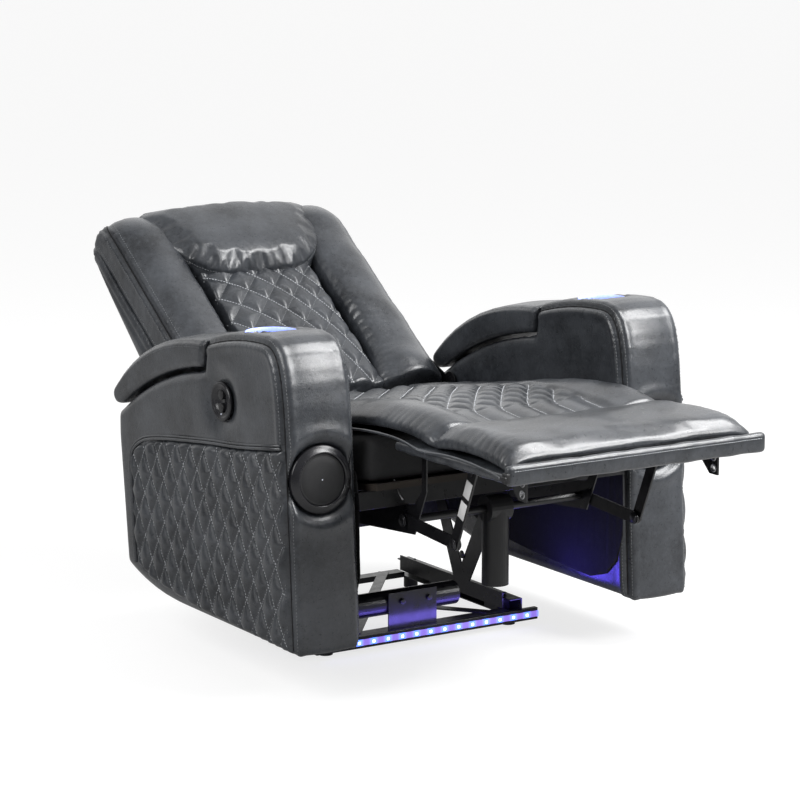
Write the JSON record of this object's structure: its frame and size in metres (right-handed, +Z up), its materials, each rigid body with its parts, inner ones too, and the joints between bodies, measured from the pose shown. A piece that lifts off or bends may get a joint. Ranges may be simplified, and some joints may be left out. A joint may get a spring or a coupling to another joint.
{
  "type": "power recliner chair",
  "caption": "Upholstered recliner with padded storage arms, cup holders, a quilted back and a folding footrest on a sliding steel base.",
  "frame": {"origin": "middle of the reclined chair's footprint box, on the floor", "axes": "+Z up, +Y towards the back of the chair, the sitter faces -Y and +X is the sitter's left"},
  "size_m": [0.92, 1.5806, 0.8008],
  "materials": {
    "leather": "soft sheen",
    "steel": "satin black",
    "chrome": "bright",
    "plastic": "matt",
    "board": "raw plywood",
    "lamp": "lit diffuser"
  },
  "bodies": {
    "carriage": {"arm_right": "leather", "arm_panel_right": "leather", "cup_holder_right": "chrome", "lit_ring_right": "lamp", "speaker_ring_right": "plastic", "speaker_grille_right": "plastic", "lid_knuckle_right": "steel", "arm_left": "leather", "arm_panel_left": "leather", "cup_holder_left": "chrome", "lit_ring_left": "lamp", "speaker_ring_left": "plastic", "speaker_grille_left": "plastic", "lid_knuckle_left": "steel", "control_panel": "plastic", "seat_cushion": "leather", "seat_deck": "board", "seat_front_rail": "steel", "seat_rear_rail": "steel", "back_pivot_right": "steel", "back_pivot_left": "steel", "side_plate_right": "steel", "side_plate_left": "steel", "rear_apron": "leather", "gear_motor": "plastic", "glide_front_right": "plastic", "glide_rear_right": "plastic", "glide_front_left": "plastic", "glide_rear_left": "plastic"},
    "lid_right": {"storage_lid_right": "leather"},
    "lid_left": {"storage_lid_left": "leather"},
    "button_return": {"button_return": "plastic"},
    "button_recline": {"button_recline": "plastic"},
    "back": {"back_cushion": "leather", "headrest": "leather", "back_wing_right": "leather", "back_wing_left": "leather", "back_board": "board", "back_cover": "leather", "back_bracket_right": "steel", "back_bracket_left": "steel"},
    "footrest": {"footrest_board": "leather", "footrest_pad": "leather", "footrest_bracket_right": "steel", "footrest_bracket_left": "steel"},
    "drive_links": {"drive_link_right": "steel", "drive_link_left": "steel", "torque_tube": "steel"},
    "support_links": {"support_link_right": "steel", "support_link_left": "steel"},
    "base": {"base_rail_right": "steel", "foot_front_right": "plastic", "foot_rear_right": "plastic", "base_rail_left": "steel", "foot_front_left": "plastic", "foot_rear_left": "plastic", "front_cross_rail": "steel", "rear_cross_rail": "steel", "lamp_bar": "steel", "lamp_strip": "lamp"}
  },
  "joints": [
    {"name": "carriage_slide", "type": "slide", "parent": "base", "child": "carriage", "axis": [0, 1, 0], "range_m": [0, 0.09]},
    {"name": "back_recline", "type": "hinge", "parent": "carriage", "child": "back", "pos_m": [0, 0.26466, 0.444], "axis": [1, 0, 0], "range_deg": [0, 40]},
    {"name": "footrest_fold", "type": "hinge", "parent": "carriage", "child": "footrest", "pos_m": [0, -0.40234, 0.462], "axis": [1, 0, 0], "range_deg": [0, 85]},
    {"name": "drive_link_swing", "type": "hinge", "parent": "carriage", "child": "drive_links", "pos_m": [0, -0.34234, 0.32], "axis": [1, 0, 0], "range_deg": [0, 85]},
    {"name": "support_link_swing", "type": "hinge", "parent": "footrest", "child": "support_links", "pos_m": [0, -0.57234, 0.45], "axis": [1, 0, 0], "range_deg": [-85, 0]},
    {"name": "lid_right_hinge", "type": "hinge", "parent": "carriage", "child": "lid_right", "pos_m": [-0.3825, 0.33066, 0.48], "axis": [1, 0, 0], "range_deg": [-70, 0]},
    {"name": "lid_left_hinge", "type": "hinge", "parent": "carriage", "child": "lid_left", "pos_m": [0.3825, 0.33066, 0.48], "axis": [1, 0, 0], "range_deg": [-70, 0]},
    {"name": "button_return_press", "type": "slide", "parent": "carriage", "child": "button_return", "axis": [1, 0, 0], "range_m": [0, 0.0015], "stiffness_N_per_m": 400},
    {"name": "button_recline_press", "type": "slide", "parent": "carriage", "child": "button_recline", "axis": [1, 0, 0], "range_m": [0, 0.0015], "stiffness_N_per_m": 400}
  ],
  "couplings": [
    {"joint": "footrest_fold", "follows": "carriage_slide", "rad_per_m": 16.483},
    {"joint": "drive_link_swing", "follows": "carriage_slide", "rad_per_m": 16.483},
    {"joint": "support_link_swing", "follows": "carriage_slide", "rad_per_m": -16.483},
    {"joint": "back_recline", "follows": "carriage_slide", "rad_per_m": 7.757}
  ]
}
